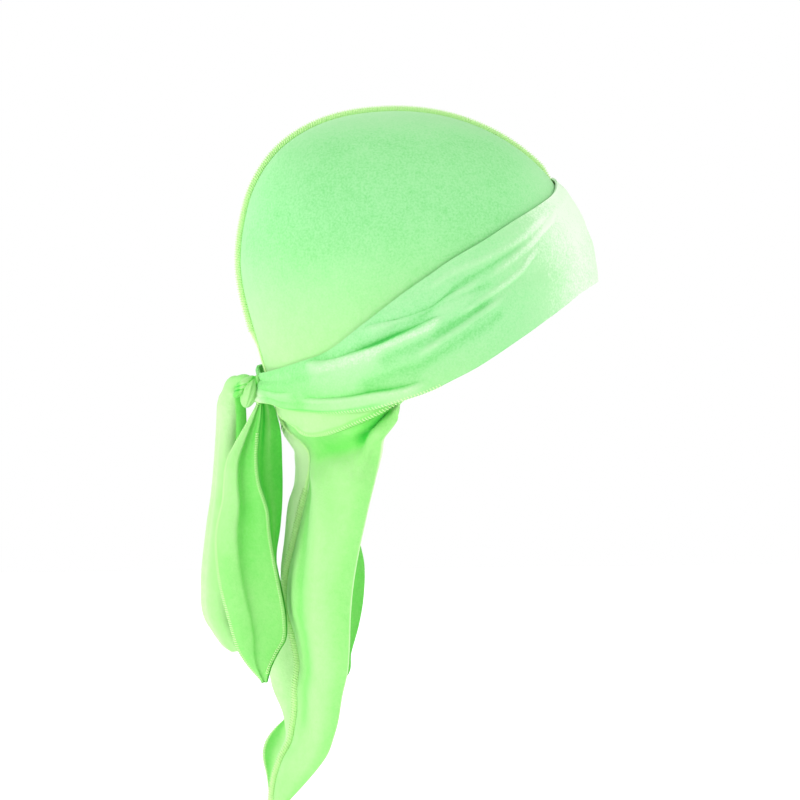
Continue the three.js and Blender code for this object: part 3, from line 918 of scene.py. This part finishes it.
def fold_place(turn, across):
    """The left strap's folds lie a little off the right one's."""
    return np.where(turn > 0, across, across * 0.97 + 0.02)


def wrap_flat(across, along):
    """The left strap's top edge climbs a little before it reaches the knot."""
    turn = wrap_turn(along)
    place = round_crown(wrap_edges, turn, across)
    climb = settle(150, 166, -turn) * (1 - settle(170, 178, -turn))
    place[..., 2] += left_end_climb * climb * settle(0.3, 1.0, across)
    return place


def wrap_rise(across, along):
    """The left strap's end stands out at its top edge, and the right one's at its hem, where
    each runs into the knot."""
    turn = wrap_turn(along)
    away = np.abs(turn)
    width = wrap_width(away)
    brow = curve(wrap_pleats, 1, across)
    nape = curve(wrap_pleats, 2, across)
    pleat = pleat_height * between(brow, nape, settle(50, 140, away))
    gather = nape_gather * settle(155, 176, away)
    top_down = between(top_edge_lift, wrap_lift, settle(0, edge_roll, (1 - across) * width))
    foot = between(brow_edge_lift, wrap_lift - nape_edge_drop, settle(76, 92, away))
    bottom_down = between(foot, wrap_lift, settle(0, edge_roll, across * width))
    lift = np.minimum(top_down, bottom_down)
    right_flare = right_end_flare * settle(166, 178, away) * (1 - settle(0.15, 0.60, across))
    left_flare = left_end_flare * settle(150, 164, away) * (1 - settle(168, 178, away))
    to_knot = np.where(turn > 0, right_flare, left_flare * settle(0.4, 0.8, across))
    folds = wrap_folds(away, fold_place(turn, across), width)
    return lift + gather + pleat + to_knot + folds


def wrap_tone_and_painted_light(across, along):
    """The tone: painted sheen at the brow, painted highlight on the folds' crests and painted
    shade in their hollows, and painted shadow under the laps.
    """
    turn = wrap_turn(along)
    away = np.abs(turn)
    width = wrap_width(away)
    shifted = fold_place(turn, across)
    folds = wrap_folds(away, shifted, width) / 0.001
    upper = settle(0.30, 0.75, across)
    front = (0.74 + 0.16 * upper) * (1 - settle(22, between(58, 72, upper), away))
    under_laps = 0
    for lap, middle, reach, strength in ((laps[0], 108, 11, 2.2), (laps[1], 112, 16, 1.1)):
        off, fade = fold_line(lap, away, shifted, width)
        under_lap = settle(-0.0008, 0.0000, off) * np.exp(-np.maximum(off, 0) / 0.0018)
        under_laps = under_laps + strength * fade * under_lap * hump(away - middle, reach)
    # a painted highlight on the right strap's end by the knot
    tip = settle(168, 175, turn) * (1 - settle(0.25, 0.55, across))
    tone_and_painted_light = 0.14 + front + 0.36 * np.clip(folds, -1.5, 1.4) - under_laps
    tone_and_painted_light -= 0.32 * settle(118, 150, away)
    # painted shade under the lower hem's overlock loops
    tone_and_painted_light -= 0.45 * settle(104, 116, away) * (1 - settle(0.05, 0.09, across))
    return between(tone_and_painted_light, 0.95, tip)


wrap_place = raised(wrap_flat, wrap_rise)
wrap = lay_cloth("velvet_wrap", wrap_place, wrap_tone_and_painted_light, columns=96, rows=480)
wrap.data.materials.append(strap_finish)
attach(wrap, "root")
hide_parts("wrap_band")
wrap_hem_left = hem_stitches("wrap_hem_left", wrap_place, edge=0.0, start=0.0, end=0.26)
wrap_hem_right = hem_stitches("wrap_hem_right", wrap_place, edge=0.0, start=0.74, end=1.0)

# Knot. The two straps are crossed and tied once behind the nape; the knot is the turn of velvet
# that shows, drawn tight into rounded lobes.
knot_depth = 0.0126
knot_shift = 0.0025
knot_drop = 0.006
knot_grain = 0.00032
straps_in_knot = 0.0020
nape_z = side_z((wrap_edges[-1][1] + wrap_edges[-1][2]) / 2)
nape_y = middle_y + float(crown_radius(np.array([math.pi]), np.array([nape_z]))[0])
knot_y = (nape_y + wrap_lift + nape_gather + pleat_height * 0.9 + cloth_thickness
          - straps_in_knot + knot_depth / 2)
knot_z = nape_z - knot_drop

# Each roll's middle behind and above the knot's middle, its lean forward from upright, half its
# length, breadth and width, and the pleats round it
knot_rolls = [
    (-0.0014, 0.0002, 16, 0.0090, 0.0046, 0.0092, 11),
    (0.0010, 0.0062, 62, 0.0060, 0.0020, 0.0074, 5),
    (0.0026, 0.0036, 56, 0.0050, 0.0020, 0.0070, 5),
    (0.0042, 0.0006, 44, 0.0046, 0.0022, 0.0064, 5),
    (-0.0056, 0.0058, 8, 0.0042, 0.0022, 0.0062, 4),
    (-0.0062, 0.0004, 0, 0.0060, 0.0026, 0.0058, 4),
]
rolls = []
for back, up, lean, length, breadth, width, pleats in knot_rolls:
    bpy.ops.object.select_all(action="DESELECT")
    bpy.ops.mesh.primitive_uv_sphere_add(segments=48, ring_count=32, radius=1)
    roll = bpy.context.object
    ball = points_of(roll)
    crease = 1 - 0.05 * np.cos(pleats * np.arctan2(ball[:, 0], ball[:, 1]) + 0.5)
    across = ball[:, 1] * breadth * crease
    along = ball[:, 2] * length
    lean = math.radians(lean)
    roll.data.vertices.foreach_set("co", np.stack([
        ball[:, 0] * width * crease - knot_shift,
        knot_y + back + across * math.cos(lean) - along * math.sin(lean),
        knot_z + up + across * math.sin(lean) + along * math.cos(lean),
    ], axis=-1).ravel())
    rolls.append(roll)
knot = join(rolls, "velvet_knot")
drawn = knot.modifiers.new("drawn", "REMESH")
drawn.mode = "VOXEL"
drawn.voxel_size = knot_grain
bpy.ops.object.modifier_apply(modifier=drawn.name)
softened = knot.modifiers.new("softened", "SMOOTH")
softened.factor = 0.5
softened.iterations = 3
bpy.ops.object.modifier_apply(modifier=softened.name)
bpy.ops.object.shade_smooth()

# painted shade: the knot is darker where two rolls meet and on its back
knot_points = points_of(knot)
nearness = []
for back, up, lean, length, breadth, width, _ in knot_rolls:
    y = knot_points[:, 1] - knot_y - back
    z = knot_points[:, 2] - knot_z - up
    lean = math.radians(lean)
    across = (y * math.cos(lean) + z * math.sin(lean)) / breadth
    along = (z * math.cos(lean) - y * math.sin(lean)) / length
    side = (knot_points[:, 0] + knot_shift) / width
    nearness.append(np.sqrt(across ** 2 + along ** 2 + side ** 2))
second_near = np.sort(np.array(nearness), axis=0)[1]
in_crease = hump(np.maximum(second_near - 1.02, 0), 0.08)
on_back = settle(0.0030, 0.0050, knot_points[:, 1] - knot_y)
keep_tone_and_painted_light(knot, 0.25 - 0.95 * in_crease - 0.70 * on_back)
knot.data.materials.append(velvet_finish)
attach(knot, "root")
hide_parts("knot")

# Looped tie. One strap end comes over the knot and hangs behind it, curled lengthwise with its
# hollow in front, and closes to a rounded end. Its long edges are overlocked.
looped_drop = 0.154
looped_depth = 0.042
looped_width = 0.040
looped_shift = 0.015
looped_curl = 105
tie_thickness = 0.0011
tie_stitch_pitch = 0.0013

# share of its length, middle line behind and below the knot, depth and width of the section
looped_rows = [
    (0.00, -0.060, -0.030, 0.120, 0.26), (0.03, 0.020, -0.037, 0.160, 0.30),
    (0.06, 0.085, -0.030, 0.180, 0.34), (0.09, 0.128, -0.022, 0.257, 0.38),
    (0.12, 0.110, 0.002, 0.438, 0.44), (0.16, 0.088, 0.037, 0.533, 0.50),
    (0.22, 0.080, 0.100, 0.571, 0.60), (0.33, 0.085, 0.195, 0.600, 0.70),
    (0.48, 0.078, 0.357, 0.714, 0.78), (0.58, 0.066, 0.468, 0.857, 0.83),
    (0.71, 0.065, 0.610, 0.980, 0.85), (0.81, 0.085, 0.721, 1.000, 0.85),
    (0.87, 0.133, 0.792, 0.886, 0.75), (0.93, 0.124, 0.857, 0.676, 0.60),
    (0.98, 0.110, 0.916, 0.405, 0.38), (1.00, 0.095, 0.942, 0.200, 0.22),
]

# place across, breadth and rise of its long folds
looped_folds = [(0.13, 0.035, -0.0018), (0.24, 0.050, 0.0008), (0.40, 0.040, -0.0008)]


def looped_route(share):
    return np.stack([
        knot_y + curve(looped_rows, 1, share) * looped_depth,
        knot_z - curve(looped_rows, 2, share) * looped_drop,
    ], axis=-1)


def looped_flat(across, along):
    before = looped_route(np.maximum(along - 0.01, 0))
    after = looped_route(np.minimum(along + 0.01, 1))
    way = unit(after - before)
    middle = looped_route(along)
    depth = curve(looped_rows, 3, along) * looped_depth / 2
    width = curve(looped_rows, 4, along) * looped_width / 2
    curl = np.radians(between(-looped_curl, looped_curl, across))
    out = depth * np.cos(curl)
    return np.stack([
        looped_shift * settle(0, 0.13, along) + width * np.sin(curl),
        middle[..., 0] - way[..., 1] * out,
        middle[..., 1] + way[..., 0] * out,
    ], axis=-1)


def looped_rise(across, along):
    hung = settle(0.12, 0.3, along) * (1 - settle(0.88, 1.0, along))
    return hung * sum(height * hump(across - at, breadth) for at, breadth, height in looped_folds)


looped_place = raised(looped_flat, looped_rise)


def looped_tone_and_painted_light(across, along):
    # painted shade: a dark strip along the right edge and a darker long valley
    strip = 1 - settle(0.10, 0.16, across)
    valley = hump(across - 0.27, 0.09) * settle(0.2, 0.5, along)
    rolled = 1 - settle(0.05, 0.13, along)
    tone_and_painted_light = 0.58 - 1.10 * strip - 0.40 * valley
    return between(tone_and_painted_light, 0.0, rolled)


looped_tie = lay_cloth(
    "velvet_tie_looped", looped_place, looped_tone_and_painted_light,
    columns=72, rows=200, thickness=tie_thickness,
)
looped_tie.data.materials.append(velvet_finish)
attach(looped_tie, "root")
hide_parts("tie_looped")
looped_hems = [
    hem_stitches(name, looped_place, edge, start=0.34, end=0.97, pitch=tie_stitch_pitch)
    for name, edge in (("tie_looped_hem_right", 0.0), ("tie_looped_hem_left", 1.0))
]

# Hanging tie. The other strap end hangs from under the knot, folded lengthwise, so that its
# front part shows a hem on each side and the rest lies back behind it.
hanging_drop = 0.160
hanging_depth = 0.037
hanging_fold = 0.015

# drop, hem, crease and outer fold behind the knot, place to the right and relief
hanging_rows = [
    (-0.015, -0.150, -0.160, -0.180, 0.25, 0.10), (0.010, -0.152, -0.175, -0.260, 0.35, 0.15),
    (0.032, -0.150, -0.200, -0.370, 0.48, 0.22), (0.080, -0.040, -0.195, -0.450, 0.62, 0.38),
    (0.130, 0.085, -0.165, -0.500, 0.80, 0.55), (0.175, 0.200, -0.149, -0.518, 0.90, 0.75),
    (0.231, 0.320, -0.135, -0.525, 1.00, 0.90), (0.306, 0.365, -0.165, -0.532, 1.05, 0.95),
    (0.369, 0.385, -0.250, -0.528, 1.05, 0.95), (0.410, 0.427, -0.300, -0.518, 1.05, 0.90),
    (0.475, 0.486, -0.324, -0.490, 1.05, 0.80), (0.563, 0.486, -0.384, -0.435, 1.05, 0.70),
    (0.650, 0.443, -0.457, -0.462, 1.05, 0.60), (0.738, 0.354, -0.530, -0.532, 1.05, 0.50),
    (0.788, 0.295, -0.555, -0.557, 1.05, 0.45), (0.850, 0.222, -0.545, -0.547, 1.05, 0.40),
    (0.894, 0.149, -0.440, -0.442, 1.05, 0.35), (0.944, 0.010, -0.330, -0.332, 1.05, 0.30),
    (1.000, -0.200, -0.260, -0.262, 1.05, 0.25),
]

# place across from the rear hem, reach to the crease at 1 and the outer fold at 2, and relief
hanging_section = [
    (0.00, 0.00, -0.30), (0.10, 0.14, 0.02), (0.22, 0.32, 0.16), (0.27, 0.39, 0.12),
    (0.30, 0.43, -0.08), (0.40, 0.64, -0.02), (0.51, 0.92, 0.12), (0.56, 1.00, 0.10),
    (0.59, 1.03, -0.22), (0.68, 1.18, -0.58), (0.84, 1.66, -0.62), (1.00, 2.00, -0.75),
]

# place across, breadth and painted light of the gathers just under the knot: painted shade below
# 0, painted highlight above
hanging_gathers = [
    (0.45, 0.020, -0.30), (0.585, 0.018, -0.55), (0.645, 0.014, 0.40), (0.70, 0.020, -0.50),
    (0.78, 0.020, 0.30),
]


def hanging_place(across, along):
    drop = between(hanging_rows[0][0], hanging_rows[-1][0], along)
    reach = curve(hanging_section, 1, across)
    out = curve(hanging_section, 2, across)
    hem = curve(hanging_rows, 1, drop)
    crease = curve(hanging_rows, 2, drop)
    fold = curve(hanging_rows, 3, drop)
    share = np.where(reach <= 1, between(hem, crease, reach), between(crease, fold, reach - 1))
    side = curve(hanging_rows, 4, drop) + out * curve(hanging_rows, 5, drop)
    return np.stack([
        -hanging_fold * side,
        knot_y + share * hanging_depth,
        knot_z - drop * hanging_drop,
    ], axis=-1)


def hanging_tone_and_painted_light(across, along):
    # painted sheen on a pale strip by the left hem, painted shade on the part folded behind the
    # crease with a painted highlight along it, and painted shade and highlight on the gathers
    strip = (1 - settle(0.26, 0.31, across)) * (1 - settle(0.45, 0.75, along))
    front = between(-0.48, -0.34, settle(0.32, 0.52, across))
    front = between(front, -0.16, settle(0.45, 0.75, along))
    rear = -0.68 + 0.28 * hump(across - 0.76, 0.06)
    tone_and_painted_light = between(between(front, 0.18, strip), rear, settle(0.565, 0.60, across))
    gathered = 1 - settle(0.08, 0.34, along)
    for middle, breadth, strength in hanging_gathers:
        tone_and_painted_light += gathered * strength * hump(across - middle, breadth)
    return tone_and_painted_light


hanging_tie = lay_cloth(
    "velvet_tie_hanging", hanging_place, hanging_tone_and_painted_light,
    columns=80, rows=200, thickness=tie_thickness,
)
hanging_tie.data.materials.append(velvet_finish)
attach(hanging_tie, "root")
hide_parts("tie_hanging")
hanging_hems = [
    hem_stitches(name, hanging_place, edge, start, end, pitch=tie_stitch_pitch)
    for name, edge, start, end in (
        ("tie_hanging_hem_rear", 0.0, 0.04, 0.99),
        ("tie_hanging_hem_front", 0.56, 0.15, 0.97),
        ("tie_hanging_hem_low", 1.0, 0.78, 0.99),
    )
]

# the two stitches that were only copied
for pattern_stitch in (hem_loop, seam_loop):
    bpy.data.objects.remove(pattern_stitch)

# Studio. A plain white floor and white surroundings, with broad soft lights in front and behind
# on the camera's side, above, and behind on the far side.
white = (1, 1, 1, 1)
floor_height = -0.41
surround_strength = 0.54
light_size = 1.0
light_aim = Vector((0, 0, -0.15))

bpy.ops.object.select_all(action="DESELECT")
bpy.ops.mesh.primitive_plane_add(size=3, location=(0, 0, floor_height))
floor = bpy.context.object
floor.name = "studio_floor"
bpy.ops.object.transform_apply(location=True)
floor_finish = bpy.data.materials.new("white floor")
floor_finish.use_nodes = True
floor_shader = floor_finish.node_tree.nodes["Principled BSDF"]
floor_shader.inputs["Base Color"].default_value = white
floor_shader.inputs["Roughness"].default_value = 0.9
floor_shader.inputs["Emission Color"].default_value = white
floor_shader.inputs["Emission Strength"].default_value = 0.5
floor.data.materials.append(floor_finish)

studio = bpy.data.worlds.new("white studio")
studio.use_nodes = True
backdrop = studio.node_tree.nodes["Background"]
backdrop.inputs["Color"].default_value = white
seen = studio.node_tree.nodes.new("ShaderNodeLightPath")
brightness = studio.node_tree.nodes.new("ShaderNodeMapRange")
brightness.inputs["To Min"].default_value = surround_strength
brightness.inputs["To Max"].default_value = 1.0
studio.node_tree.links.new(seen.outputs["Is Camera Ray"], brightness.inputs["Value"])
studio.node_tree.links.new(brightness.outputs["Result"], backdrop.inputs["Strength"])
bpy.context.scene.world = studio
bpy.context.scene.view_settings.view_transform = "Standard"


def softbox(name, place, power):
    bpy.ops.object.light_add(type="AREA", location=place)
    light = bpy.context.object
    light.name = name
    light.data.shape = "SQUARE"
    light.data.size = light_size
    light.data.energy = power
    way = light_aim - Vector(place)
    light.rotation_euler = way.to_track_quat("-Z", "Y").to_euler()


softbox("front_side_light", (-0.7, -1.5, 0.6), 12)
softbox("back_side_light", (-0.7, 1.5, 0.1), 13)
softbox("top_light", (-0.5, 0, 1.6), 8)
softbox("far_side_light", (1.2, 1.2, 0.3), 8)
